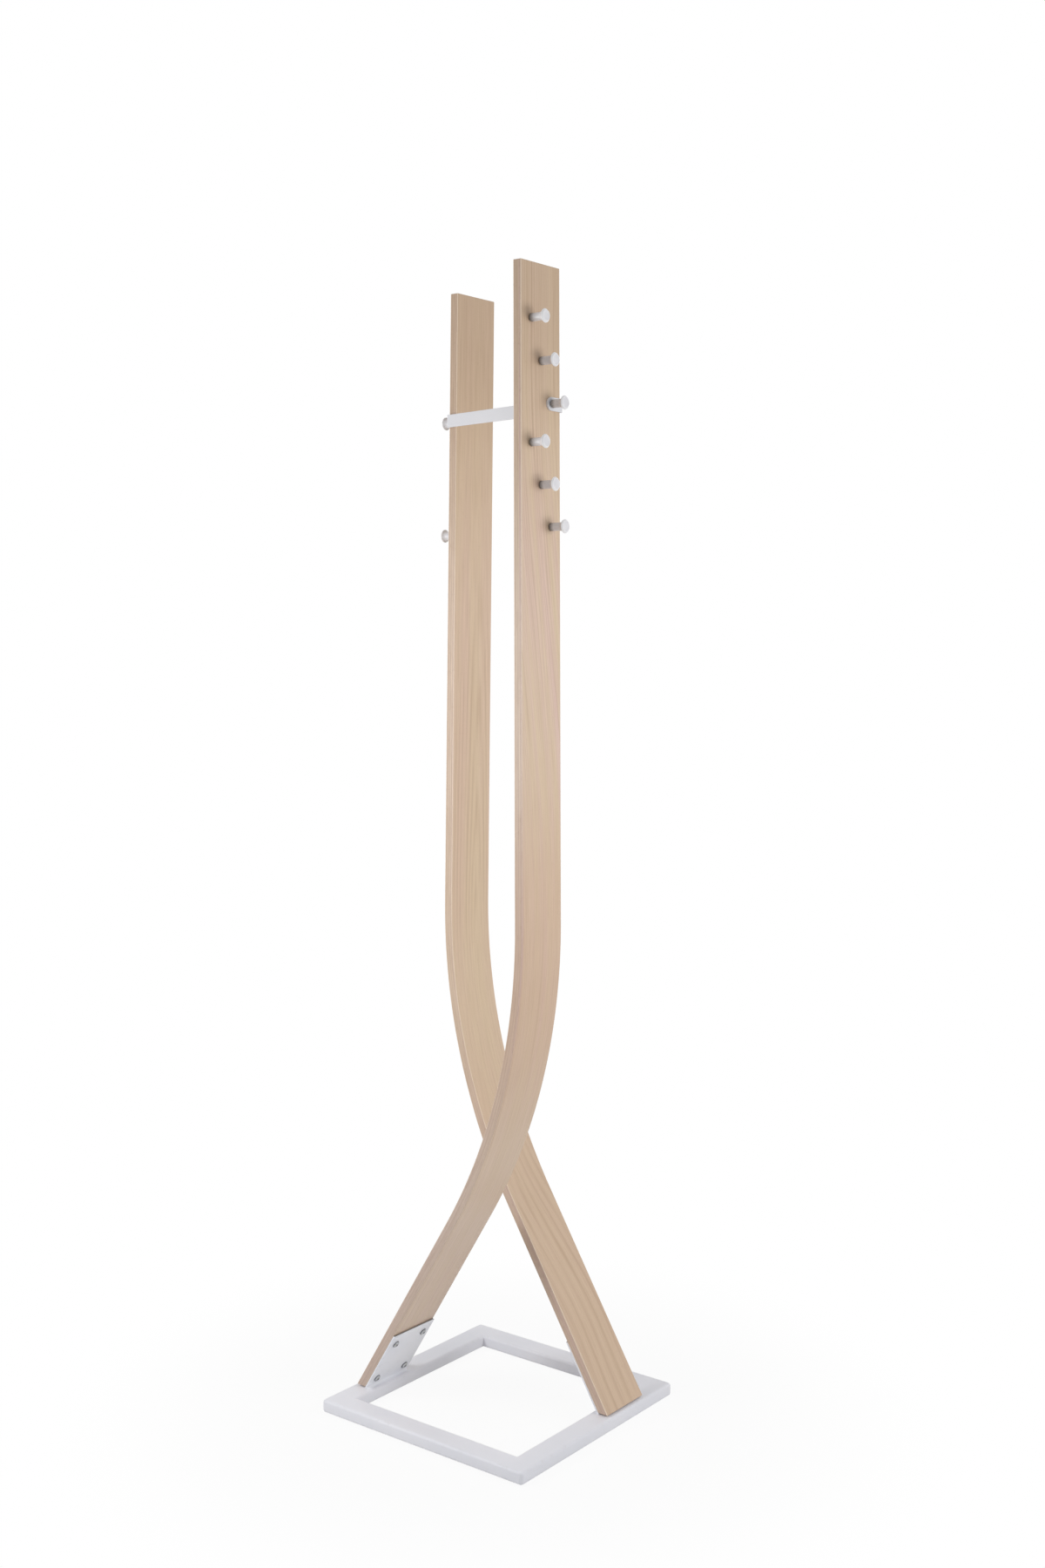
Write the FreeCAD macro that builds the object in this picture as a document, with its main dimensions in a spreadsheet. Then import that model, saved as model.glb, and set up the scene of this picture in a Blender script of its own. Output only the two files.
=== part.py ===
import FreeCAD, Part
import math
import os
import Sketcher
from FreeCAD import Placement, Rotation, Vector

# Coat stand: two bent plywood legs that cross above a square steel base, with turned pegs and a flat strap.
# The origin lies on the floor under the middle of the base, +Z is up, +X runs from the left bar to the right
# bar and +Y from the front bar to the back bar. Lengths are in millimetres, angles in degrees.

doc = FreeCAD.newDocument("coat_stand")

driving_sizes = {
    # Base frame of rectangular tube
    "base_side": 400,
    "bar_width": 40,
    "bar_height": 20,
    "bar_wall": 2,
    "bar_edge_radius": 5,
    "bar_bore_radius": 3,
    "base_corner_radius": 6,
    "pad_diameter": 18,
    "pad_thickness": 1.5,
    # Bent plywood legs
    "stand_height": 1802,
    "leg_width": 98,
    "leg_thickness": 15,
    "leg_spacing": 55,  # clear gap between the two legs
    "leg_edge_radius": 1,
    "foot_inset": 14.5,  # from the outer side of the bar to the middle of the leg, at the top of the bar
    "foot_gap": 2.5,  # from the bar up to the end of the leg
    "foot_lean": 32,  # of the straight foot, from upright
    "foot_straight": 348.5,  # from the bar to the start of the bend
    "bend_radius": 880,  # to the middle of the board
    "top_lean": 0.45,  # of the straight top, from upright
    # Mounting plates and their screws
    "plate_reach": 122,  # along the leg, from the bar to the top of the plate
    "plate_thickness": 3,
    "plate_corner_radius": 3,
    "screw_diameter": 6,
    "screw_length": 12,
    "screw_head_diameter": 12,
    "screw_head_height": 3.3,
    "screw_head_bevel": 1.6,
    "screw_socket_width": 4,
    "screw_socket_depth": 2,
    "screw_margin": 23,  # from the top of the plate to the upper screws
    "screw_pitch": 76,  # along the leg
    "screw_spread": 66,  # across the leg
    # Threaded inserts in the legs
    "insert_diameter": 9,
    "insert_length": 11,
    # Pegs and their studs
    "peg_shaft_diameter": 13,
    "peg_head_diameter": 21.5,
    "peg_length": 29.5,
    "peg_rim": 2.8,
    "peg_bevel": 2,
    "peg_flare": 7.7,
    "peg_top_drop": 86,  # from the top of the leg to the first peg
    "peg_pitch": 63,
    "peg_stagger": 24.5,
    "stud_diameter": 6,
    "stud_depth": 10,
    "stud_reach": 12,
    # Strap between the legs
    "strap_height": 21,
    "strap_thickness": 3,
    "strap_bend_radius": 3,
    "strap_end_flat": 1,
    # Clearances
    "fit_clearance": 0.1,  # around threads, screws and inserts
    "end_clearance": 0.5,  # at the bottom of blind holes
    "seat_clearance": 0.2,  # between the strap and the pegs on it
}

sheet = doc.addObject("Spreadsheet::Sheet", "sizes")
for row, (name, value) in enumerate(driving_sizes.items(), start=1):
    sheet.set(f"A{row}", name)
    sheet.set(f"B{row}", str(value))
    sheet.setAlias(f"B{row}", name)
doc.recompute()

parts = []
legs = ("front", "rear")
pegs_per_leg = 6
pegs_per_group = 3
strap_peg = 2  # counted from the top, from 0


def size(name):
    return float(sheet.get(name))


def evaluate(formula):
    return float(sheet.evalExpression(formula))


# Sketches: every corner and radius is bound to a formula of the sheet's cells

def new_body(label, placement):
    body = doc.addObject("PartDesign::Body", label)
    body.Label = label
    body.Placement = placement
    parts.append(body)
    return body


def origin_plane(body, role):
    return next(item for item in body.Origin.OriginFeatures if item.Role == role)


def new_sketch(body, name, role, frame=Placement(), height="0"):
    sketch = body.newObject("Sketcher::SketchObject", name)
    sketch.AttachmentSupport = [(origin_plane(body, role), "")]
    sketch.MapMode = "FlatFace"
    sketch.AttachmentOffset = frame
    if height != "0":
        sketch.setExpression("AttachmentOffset.Base.z", height)
    return sketch


def dimension(sketch, kind, *where, formula):
    index = sketch.addConstraint(Sketcher.Constraint(kind, *where, evaluate(formula)))
    sketch.setExpression(f"Constraints[{index}]", formula)


def pin(sketch, item, point, x, y):
    for kind, axis, formula in (("DistanceX", -2, x), ("DistanceY", -1, y)):
        if formula == "0":
            sketch.addConstraint(Sketcher.Constraint("PointOnObject", item, point, axis))
        else:
            dimension(sketch, kind, -1, 1, item, point, formula=formula)


# A closed outline: side i runs from corner i to the next, as an arc where arcs gives its centre and radius
def outline(sketch, corners, arcs=None):
    arcs = arcs or {}
    points = [Vector(evaluate(x), evaluate(y), 0) for x, y in corners]
    sides = []
    for i, start in enumerate(points):
        end = points[(i + 1) % len(points)]
        if i not in arcs:
            sides.append((sketch.addGeometry(Part.LineSegment(start, end)), 1, 2))
            continue
        centre_x, centre_y, radius = arcs[i]
        centre = Vector(evaluate(centre_x), evaluate(centre_y), 0)
        circle = Part.Circle(centre, Vector(0, 0, 1), evaluate(radius))
        angles = [math.atan2(p.y - centre.y, p.x - centre.x) for p in (start, end)]
        anticlockwise = (start - centre).cross(end - centre).z > 0
        if anticlockwise:
            sides.append((sketch.addGeometry(Part.ArcOfCircle(circle, *angles)), 1, 2))
        else:
            sides.append((sketch.addGeometry(Part.ArcOfCircle(circle, *reversed(angles))), 2, 1))
        dimension(sketch, "Radius", sides[-1][0], formula=radius)
    for (item, _, last), (after, first, _) in zip(sides, sides[1:] + sides[:1]):
        sketch.addConstraint(Sketcher.Constraint("Coincident", item, last, after, first))
    for (item, first, _), (x, y) in zip(sides, corners):
        pin(sketch, item, first, x, y)


def rounded_rectangle(sketch, low_x, low_y, width, height, radius):
    left, right = f"{low_x} + {radius}", f"{low_x} + {width} - {radius}"
    bottom, top = f"{low_y} + {radius}", f"{low_y} + {height} - {radius}"
    high_x, high_y = f"{low_x} + {width}", f"{low_y} + {height}"
    corners = [(left, low_y), (right, low_y), (high_x, bottom), (high_x, top),
               (right, high_y), (left, high_y), (low_x, top), (low_x, bottom)]
    arcs = {1: (right, bottom, radius), 3: (right, top, radius),
            5: (left, top, radius), 7: (left, bottom, radius)}
    outline(sketch, corners, arcs)


def circles(sketch, centres, diameter):
    for x, y in centres:
        centre = Vector(evaluate(x), evaluate(y), 0)
        circle = sketch.addGeometry(Part.Circle(centre, Vector(0, 0, 1), evaluate(diameter) / 2))
        pin(sketch, circle, 3, x, y)
        dimension(sketch, "Diameter", circle, formula=diameter)


# Solid features

def pad(body, name, sketch, length, reverse=False):
    feature = body.newObject("PartDesign::Pad", name)
    feature.Profile = sketch
    feature.Reversed = reverse
    feature.setExpression("Length", length)
    return feature


def pocket(body, name, sketch, length):
    feature = body.newObject("PartDesign::Pocket", name)
    feature.Profile = sketch
    feature.setExpression("Length", length)
    return feature


def revolve(body, name, sketch):
    feature = body.newObject("PartDesign::Revolution", name)
    feature.Profile = sketch
    feature.ReferenceAxis = (sketch, ["V_Axis"])
    feature.Angle = 360
    return feature


def fillet(body, name, base, choose_edge, radius):
    doc.recompute()
    edges = [f"Edge{i}" for i, edge in enumerate(base.Shape.Edges, start=1) if choose_edge(edge)]
    feature = body.newObject("PartDesign::Fillet", name)
    feature.Base = (base, edges)
    feature.setExpression("Radius", radius)
    return feature


# Shape of the leg in its own upright plane: straight foot, bend and straight top

bar_top = "(sizes.pad_thickness + sizes.bar_height)"
foot_reach = "(sizes.base_side / 2 - sizes.foot_inset)"
half_board = "sizes.leg_thickness / 2"
bend_x = (f"(sizes.foot_straight * sin(sizes.foot_lean) - {foot_reach}"
          " - sizes.bend_radius * cos(sizes.foot_lean))")
bend_z = (f"({bar_top} + sizes.foot_straight * cos(sizes.foot_lean)"
          " + sizes.bend_radius * sin(sizes.foot_lean))")


def leg_face_corners(radius):
    foot_end = f"({bar_top} + sizes.foot_gap)"
    start_x = f"({bend_x} + {radius} * cos(sizes.foot_lean))"
    start_z = f"({bend_z} - {radius} * sin(sizes.foot_lean))"
    end_x = f"({bend_x} + {radius} * cos(sizes.top_lean))"
    end_z = f"({bend_z} + {radius} * sin(sizes.top_lean))"
    foot_x = f"{start_x} - ({start_z} - {foot_end}) * tan(sizes.foot_lean)"
    top_x = f"{end_x} - (sizes.stand_height - {end_z}) * tan(sizes.top_lean)"
    return [(foot_x, foot_end), (start_x, start_z), (end_x, end_z), (top_x, "sizes.stand_height")]


outer_radius = f"(sizes.bend_radius + {half_board})"
inner_radius = f"(sizes.bend_radius - {half_board})"
outer_face = leg_face_corners(outer_radius)
inner_face = leg_face_corners(inner_radius)


def leg_placement(leg):
    side = -1 if leg == "front" else 1
    turn = Rotation(Vector(0, 0, 1), 0 if leg == "front" else 180)
    return Placement(Vector(0, side * size("leg_spacing") / 2, 0), turn)


def new_leg_body(label, leg):
    body = new_body(label, leg_placement(leg))
    sign = "-" if leg == "front" else ""
    body.setExpression("Placement.Base.y", f"{sign}sizes.leg_spacing / 2")
    return body


# Frames on the outer face of a leg: X along the leg, Y across it and Z out of the face, raised by lift

def top_frame(lift=0.0):
    lean = math.radians(size("top_lean"))
    down = Vector(math.sin(lean), 0, -math.cos(lean))
    outward = Vector(math.cos(lean), 0, math.sin(lean))
    corner = Vector(evaluate(outer_face[-1][0]), -size("leg_width"), size("stand_height"))
    return Placement(corner + outward * lift, Rotation(down, outward.cross(down), outward, "ZXY"))


def foot_frame(lift=0.0):
    lean = math.radians(size("foot_lean"))
    upward = Vector(math.sin(lean), 0, math.cos(lean))
    outward = Vector(math.cos(lean), 0, -math.sin(lean))
    foot = Vector(-evaluate(foot_reach), 0, evaluate(bar_top))
    corner = foot + outward * (evaluate(half_board) + lift)
    return Placement(corner, Rotation(upward, outward.cross(upward), outward, "ZXY"))


def peg_centre(i):
    along = f"sizes.peg_top_drop + {i} * sizes.peg_pitch"
    across = f"sizes.leg_width / 2 + {i % pegs_per_group - 1} * sizes.peg_stagger"
    return along, across


peg_centres = [peg_centre(i) for i in range(pegs_per_leg)]
screw_rows = [f"sizes.plate_reach - sizes.screw_margin - {k} * sizes.screw_pitch" for k in (0, 1)]
screw_columns = [f"sizes.leg_width / 2 {sign} sizes.screw_spread / 2" for sign in "-+"]
screw_centres = [(row, column) for row in screw_rows for column in screw_columns]

insert_hole = "sizes.insert_diameter + 2 * sizes.fit_clearance"
insert_depth = "sizes.insert_length + sizes.end_clearance"
screw_hole = "sizes.screw_diameter + 2 * sizes.fit_clearance"
stud_hole = "sizes.stud_diameter + 2 * sizes.fit_clearance"


# Base frame: four mitred tubes with rounded outer corners

def make_bar(label, turn):
    body = new_body(label, Placement(Vector(0, 0, 0), Rotation(Vector(0, 0, 1), turn)))
    half = "sizes.base_side / 2"
    corner = "sizes.base_corner_radius"
    diagonal = f"({corner} * (1 - sqrt(0.5)))"
    inner_y = f"-{half} + sizes.bar_width"
    corners = [(f"-{half} + {corner}", f"-{half}"),
               (f"{half} - {corner}", f"-{half}"),
               (f"{half} - {diagonal}", f"-{half} + {diagonal}"),
               (f"{half} - sizes.bar_width", inner_y),
               (f"-{half} + sizes.bar_width", inner_y),
               (f"-{half} + {diagonal}", f"-{half} + {diagonal}")]
    arcs = {1: (f"{half} - {corner}", f"-{half} + {corner}", corner),
            5: (f"-{half} + {corner}", f"-{half} + {corner}", corner)}
    plan = new_sketch(body, f"{label}_plan", "XY_Plane", height="sizes.pad_thickness")
    outline(plan, corners, arcs)
    block = pad(body, f"{label}_block", plan, "sizes.bar_height")

    def is_long_edge(edge):
        level = edge.BoundBox.ZLength < 1e-6
        straight = edge.Curve.TypeId == "Part::GeomLine"
        mitre = straight and edge.BoundBox.YLength > 1e-6
        return level and not mitre

    fillet(body, f"{label}_edges", block, is_long_edge, "sizes.bar_edge_radius")
    bore = new_sketch(body, f"{label}_bore_section", "YZ_Plane", height=half)
    rounded_rectangle(bore, f"(-{half} + sizes.bar_wall)", "(sizes.pad_thickness + sizes.bar_wall)",
                      "(sizes.bar_width - 2 * sizes.bar_wall)", "(sizes.bar_height - 2 * sizes.bar_wall)",
                      "sizes.bar_bore_radius")
    pocket(body, f"{label}_bore", bore, "sizes.base_side")


def make_floor_pad(label, side_x, side_y):
    body = new_body(label, Placement())
    for axis, side in (("x", side_x), ("y", side_y)):
        body.setExpression(f"Placement.Base.{axis}", f"{side} * (sizes.base_side - sizes.bar_width) / 2")
    disc = new_sketch(body, f"{label}_disc", "XY_Plane")
    circles(disc, [("0", "0")], "sizes.pad_diameter")
    pad(body, f"{label}_sheet", disc, "sizes.pad_thickness")


# Legs: a bent board with softened long edges, and blind holes for the inserts

def make_leg(leg):
    body = new_leg_body(f"{leg}_leg", leg)
    profile = new_sketch(body, f"{leg}_leg_profile", "XZ_Plane")
    outline(profile, outer_face + inner_face[::-1],
            {1: (bend_x, bend_z, outer_radius), 5: (bend_x, bend_z, inner_radius)})
    board = pad(body, f"{leg}_leg_board", profile, "sizes.leg_width")

    def is_long_edge(edge):
        return edge.BoundBox.YLength < 1e-6 and edge.Length > 2 * size("leg_thickness")

    fillet(body, f"{leg}_leg_edges", board, is_long_edge, "sizes.leg_edge_radius")
    for place, frame, centres in (("peg", top_frame(), peg_centres), ("plate", foot_frame(), screw_centres)):
        holes = new_sketch(body, f"{leg}_leg_{place}_holes", "XY_Plane", frame)
        circles(holes, centres, insert_hole)
        pocket(body, f"{leg}_leg_{place}_drilling", holes, insert_depth)


# Mounting plates: welded on top of the bar at the slant of the foot, flat on the leg

def make_plate(leg):
    body = new_leg_body(f"{leg}_foot_plate", leg)
    near = half_board
    far = f"({half_board} + sizes.plate_thickness)"

    def upper_corner(offset):
        x = f"sizes.plate_reach * sin(sizes.foot_lean) + {offset} * cos(sizes.foot_lean) - {foot_reach}"
        z = f"sizes.plate_reach * cos(sizes.foot_lean) - {offset} * sin(sizes.foot_lean) + {bar_top}"
        return x, z

    def lower_corner(offset):
        return f"{offset} / cos(sizes.foot_lean) - {foot_reach}", bar_top

    profile = new_sketch(body, f"{leg}_plate_profile", "XZ_Plane")
    outline(profile, [lower_corner(near), lower_corner(far), upper_corner(far), upper_corner(near)])
    sheet_steel = pad(body, f"{leg}_plate_sheet", profile, "sizes.leg_width")
    top_height = evaluate(upper_corner(far)[1])

    def is_top_corner(edge):
        short = edge.Length < 2 * size("plate_thickness")
        return short and edge.BoundBox.ZMin > top_height - 1e-6

    fillet(body, f"{leg}_plate_corners", sheet_steel, is_top_corner, "sizes.plate_corner_radius")
    holes = new_sketch(body, f"{leg}_plate_holes", "XY_Plane", foot_frame(size("plate_thickness")))
    circles(holes, screw_centres, screw_hole)
    pocket(body, f"{leg}_plate_drilling", holes, "sizes.plate_thickness")


def make_plate_screw(label, leg, centre):
    spot = Vector(evaluate(centre[0]), evaluate(centre[1]), 0)
    seat = leg_placement(leg).multiply(foot_frame(size("plate_thickness")))
    body = new_body(label, seat.multiply(Placement(spot, Rotation())))
    shank = "sizes.screw_diameter / 2"
    head = "sizes.screw_head_diameter / 2"
    profile = new_sketch(body, f"{label}_profile", "XZ_Plane")
    outline(profile, [("0", "-sizes.screw_length"), (shank, "-sizes.screw_length"), (shank, "0"), (head, "0"),
                      (head, "sizes.screw_head_height - sizes.screw_head_bevel"),
                      (f"{head} - sizes.screw_head_bevel", "sizes.screw_head_height"),
                      ("0", "sizes.screw_head_height")])
    revolve(body, f"{label}_turning", profile)
    socket = new_sketch(body, f"{label}_socket_plan", "XY_Plane", height="sizes.screw_head_height")
    first_angle = 15
    angles = [first_angle + 60 * k for k in range(6)]
    corner = "sizes.screw_socket_width / sqrt(3)"
    outline(socket, [(f"{corner} * cos({angle})", f"{corner} * sin({angle})") for angle in angles])
    pocket(body, f"{label}_socket", socket, "sizes.screw_socket_depth")


# Threaded inserts, flush with the outer face of the leg

def make_inserts(label, leg, frame, centres, bore):
    body = new_leg_body(label, leg)
    rings = new_sketch(body, f"{label}_rings", "XY_Plane", frame)
    circles(rings, centres, "sizes.insert_diameter")
    circles(rings, centres, bore)
    pad(body, f"{label}_sleeves", rings, "sizes.insert_length", reverse=True)


def make_studs(label, leg):
    body = new_leg_body(label, leg)
    ends = new_sketch(body, f"{label}_ends", "XY_Plane", top_frame(-size("stud_depth")))
    circles(ends, peg_centres, "sizes.stud_diameter")
    pad(body, f"{label}_rods", ends, "sizes.stud_depth + sizes.stud_reach")


# Pegs: a shaft that curves out into a bevelled head, the ones on the strap shorter so that all heads line up

def make_peg(label, leg, i):
    lift = "(sizes.strap_thickness + sizes.seat_clearance)" if i == strap_peg else "0"
    along, across = peg_centre(i)
    spot = Vector(evaluate(along), evaluate(across), evaluate(lift))
    body = new_body(label, leg_placement(leg).multiply(top_frame()).multiply(Placement(spot, Rotation())))
    length = f"(sizes.peg_length - {lift})"
    bore_end = f"sizes.stud_reach - {lift} + sizes.end_clearance"
    bore = f"({stud_hole}) / 2"
    shaft = "sizes.peg_shaft_diameter / 2"
    head = "sizes.peg_head_diameter / 2"
    flare_start = f"{length} - sizes.peg_rim - sizes.peg_flare"
    flare_width = f"({head} - {shaft})"
    flare_radius = f"({flare_width}^2 + sizes.peg_flare^2) / (2 * {flare_width})"
    profile = new_sketch(body, f"{label}_profile", "XZ_Plane")
    outline(profile,
            [(bore, "0"), (shaft, "0"), (shaft, flare_start),
             (head, f"{length} - sizes.peg_rim"), (head, f"{length} - sizes.peg_bevel"),
             (f"{head} - sizes.peg_bevel", length),
             ("0", length), ("0", bore_end), (bore, bore_end)],
            {2: (f"{shaft} + {flare_radius}", flare_start, flare_radius)})
    revolve(body, f"{label}_turning", profile)


# Strap: a flat strip across the gap between the legs, bent flat onto their outer faces under the third pegs

def make_strap(label):
    body = new_body(label, Placement())
    along, across = peg_centre(strap_peg)
    middle = f"(sizes.stand_height - ({along}) * cos(sizes.top_lean))"
    low = f"({middle} - sizes.strap_height / 2)"
    face_x = f"({outer_face[-1][0]} + (sizes.stand_height - {low}) * tan(sizes.top_lean))"
    back_x = f"({face_x} + sizes.strap_thickness)"
    bend = "sizes.strap_bend_radius"
    wide_bend = "(sizes.strap_bend_radius + sizes.strap_thickness)"
    edge_y = "sizes.leg_spacing / 2"
    end_y = f"({edge_y} + sizes.leg_width - ({across}) + sizes.strap_height / 2)"
    centre_x = f"({face_x} - {bend})"
    reach = f"sqrt({centre_x}^2 + ({edge_y})^2)"
    slant = f"(atan({edge_y} / {centre_x}) - asin(({bend} + {wide_bend}) / 2 / {reach}))"
    right_bend = (centre_x, f"-{edge_y}")
    left_bend = (f"-{centre_x}", edge_y)

    def on_bend(bend_centre, radius, side):
        return (f"{bend_centre[0]} + {side} * {radius} * sin({slant})",
                f"{bend_centre[1]} + {side} * {radius} * cos({slant})")

    corners = [(face_x, f"-{end_y}"), (back_x, f"-{end_y}"), (back_x, f"-{edge_y}"),
               on_bend(right_bend, wide_bend, 1), on_bend(left_bend, bend, -1), (f"-{face_x}", edge_y),
               (f"-{face_x}", end_y), (f"-{back_x}", end_y), (f"-{back_x}", edge_y),
               on_bend(left_bend, wide_bend, -1), on_bend(right_bend, bend, 1), (face_x, f"-{edge_y}")]
    arcs = {2: (*right_bend, wide_bend), 4: (*left_bend, bend),
            8: (*left_bend, wide_bend), 10: (*right_bend, bend)}
    plan = new_sketch(body, f"{label}_plan", "XY_Plane", height=low)
    outline(plan, corners, arcs)
    strip = pad(body, f"{label}_strip", plan, "sizes.strap_height")
    end_reach = evaluate(end_y)

    def is_end_corner(edge):
        at_end = max(abs(edge.BoundBox.YMin), abs(edge.BoundBox.YMax)) > end_reach - 1e-6
        return at_end and edge.BoundBox.ZLength < 1e-6 and edge.BoundBox.YLength < 1e-6

    fillet(body, f"{label}_ends", strip, is_end_corner, "(sizes.strap_height - sizes.strap_end_flat) / 2")
    for leg in legs:
        frame = leg_placement(leg).multiply(top_frame(2 * size("strap_thickness")))
        hole = new_sketch(body, f"{label}_{leg}_hole", "XY_Plane", frame)
        circles(hole, [(along, across)], stud_hole)
        pocket(body, f"{label}_{leg}_drilling", hole, "3 * sizes.strap_thickness")


for turn, bar in ((0, "front"), (90, "right"), (180, "back"), (270, "left")):
    make_bar(f"base_bar_{bar}", turn)
for side_y, end in ((-1, "front"), (1, "back")):
    for side_x, hand in ((-1, "left"), (1, "right")):
        make_floor_pad(f"floor_pad_{end}_{hand}", side_x, side_y)
for leg in legs:
    make_leg(leg)
    make_plate(leg)
    for number, centre in enumerate(screw_centres, start=1):
        make_plate_screw(f"{leg}_plate_screw_{number}", leg, centre)
    make_inserts(f"{leg}_plate_inserts", leg, foot_frame(), screw_centres, screw_hole)
    make_inserts(f"{leg}_peg_inserts", leg, top_frame(), peg_centres, stud_hole)
    make_studs(f"{leg}_peg_studs", leg)
    for i in range(pegs_per_leg):
        make_peg(f"{leg}_peg_{i + 1}", leg, i)
make_strap("cross_strap")
doc.recompute()

# Every object is sound and every pocket takes something away
for item in doc.Objects:
    if "Invalid" in item.State or "Error" in item.State:
        raise RuntimeError(f"{item.Label} failed: {item.State}")
    if item.TypeId == "PartDesign::Pocket" and item.Shape.Volume >= item.BaseFeature.Shape.Volume:
        raise RuntimeError(f"{item.Label} cuts nothing")
for body in parts:
    if body.Shape.isNull() or not body.Shape.isValid():
        raise RuntimeError(f"{body.Label} has no valid shape")

os.makedirs("parts", exist_ok=True)
for body in parts:
    body.Shape.exportStep(f"parts/{body.Label}.step")
    print(f"{body.Label}: {len(body.Shape.Solids)} solid(s), {body.Shape.Volume / 1000:.2f} cm3")
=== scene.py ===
import math
import bmesh
import bpy
from mathutils import Matrix, Vector


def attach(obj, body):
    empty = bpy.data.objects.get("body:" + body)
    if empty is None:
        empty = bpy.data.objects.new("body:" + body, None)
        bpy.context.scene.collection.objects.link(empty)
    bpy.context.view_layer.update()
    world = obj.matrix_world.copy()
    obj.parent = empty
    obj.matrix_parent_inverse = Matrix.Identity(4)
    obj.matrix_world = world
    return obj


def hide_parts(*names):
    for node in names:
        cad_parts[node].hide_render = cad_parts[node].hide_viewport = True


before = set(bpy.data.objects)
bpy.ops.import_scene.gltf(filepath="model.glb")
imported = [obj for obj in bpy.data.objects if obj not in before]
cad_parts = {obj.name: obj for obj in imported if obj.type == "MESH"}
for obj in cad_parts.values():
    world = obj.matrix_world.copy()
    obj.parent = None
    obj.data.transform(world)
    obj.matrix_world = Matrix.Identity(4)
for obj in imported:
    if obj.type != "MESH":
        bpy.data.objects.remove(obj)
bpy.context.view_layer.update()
print("frame loaded:", len(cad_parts), "nodes")


# shader helpers

def shade(red, green, blue):  # a colour as seen on screen, 0 to 255, turned to linear
    def linear(value):
        value /= 255
        return value / 12.92 if value <= 0.04045 else ((value + 0.055) / 1.055) ** 2.4
    return (linear(red), linear(green), linear(blue), 1)


def operator(operation):  # the plain and the reflected form
    return (lambda self, other: self.math(operation, self, other),
            lambda self, other: self.math(operation, other, self))


class Wire:  # one socket, so that shader maths reads as sums
    __add__, __radd__ = operator("ADD")
    __sub__, __rsub__ = operator("SUBTRACT")
    __mul__, __rmul__ = operator("MULTIPLY")
    __truediv__, __rtruediv__ = operator("DIVIDE")
    __pow__, __rpow__ = operator("POWER")
    __mod__, __rmod__ = operator("MODULO")

    def __init__(self, finish, socket):
        self.finish = finish
        self.socket = socket

    def math(self, operation, first, second=0.0):
        return self.finish.add("ShaderNodeMath", {"operation": operation}, {0: first, 1: second})

    def __abs__(self):
        return self.math("ABSOLUTE", self)

    def floor(self):
        return self.math("FLOOR", self)

    def sine(self):
        return self.math("SINE", self)

    def least(self, other):
        return self.math("MINIMUM", self, other)

    def most(self, other):
        return self.math("MAXIMUM", self, other)

    def between(self, low, high):  # 0 at low, 1 at high, eased
        return self.finish.add("ShaderNodeMapRange", {"interpolation_type": "SMOOTHSTEP"},
                               {"Value": self, "From Min": low, "From Max": high})

    def parts(self):
        node = self.finish.add("ShaderNodeSeparateXYZ", {}, {0: self}).socket.node
        return [Wire(self.finish, socket) for socket in node.outputs]


class Finish:  # one material, or the world, and its nodes
    def __init__(self, name, store=bpy.data.materials):
        self.owner = store.new(name)
        self.owner.use_nodes = True
        self.tree = self.owner.node_tree
        self.tree.nodes.clear()

    def add(self, kind, settings, sockets, output=0):
        node = self.tree.nodes.new(kind)
        for name, value in settings.items():
            setattr(node, name, value)
        for name, value in sockets.items():
            if isinstance(value, Wire):
                self.tree.links.new(value.socket, node.inputs[name])
            else:
                node.inputs[name].default_value = value
        return Wire(self, node.outputs[output]) if node.outputs else None

    def attribute(self, name, output="Fac"):
        return self.add("ShaderNodeAttribute", {"attribute_name": name}, {}, output)

    def place(self):  # metres in the stand's own frame
        return self.add("ShaderNodeTexCoord", {}, {}, "Object")

    def noise(self, vector, scale, detail=2.0, roughness=0.5):
        return self.add("ShaderNodeTexNoise", {},
                        {"Vector": vector, "Scale": scale, "Detail": detail, "Roughness": roughness})

    def vector(self, x, y, z):
        return self.add("ShaderNodeCombineXYZ", {}, {0: x, 1: y, 2: z})

    def mix(self, factor, first, second, way="MIX"):
        return self.add("ShaderNodeMix", {"data_type": "RGBA", "blend_type": way},
                        {0: factor, 6: first, 7: second}, 2)

    def bump(self, height, distance, strength):
        return self.add("ShaderNodeBump", {}, {"Height": height, "Distance": distance, "Strength": strength})

    def surface(self, **sockets):
        sockets = {name.replace("_", " "): value for name, value in sockets.items()}
        shader = self.add("ShaderNodeBsdfPrincipled", {}, sockets)
        self.add("ShaderNodeOutputMaterial", {}, {"Surface": shader})
        return self.owner

    def seen(self):  # 1 where the camera looks, straight or by way of a glossy or clear surface
        straight = self.add("ShaderNodeLightPath", {}, {}, "Is Camera Ray")
        glossy = Wire(self, straight.socket.node.outputs["Is Glossy Ray"])
        through = Wire(self, straight.socket.node.outputs["Is Transmission Ray"])
        return straight.most(glossy.most(through))


# bent plywood

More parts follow.
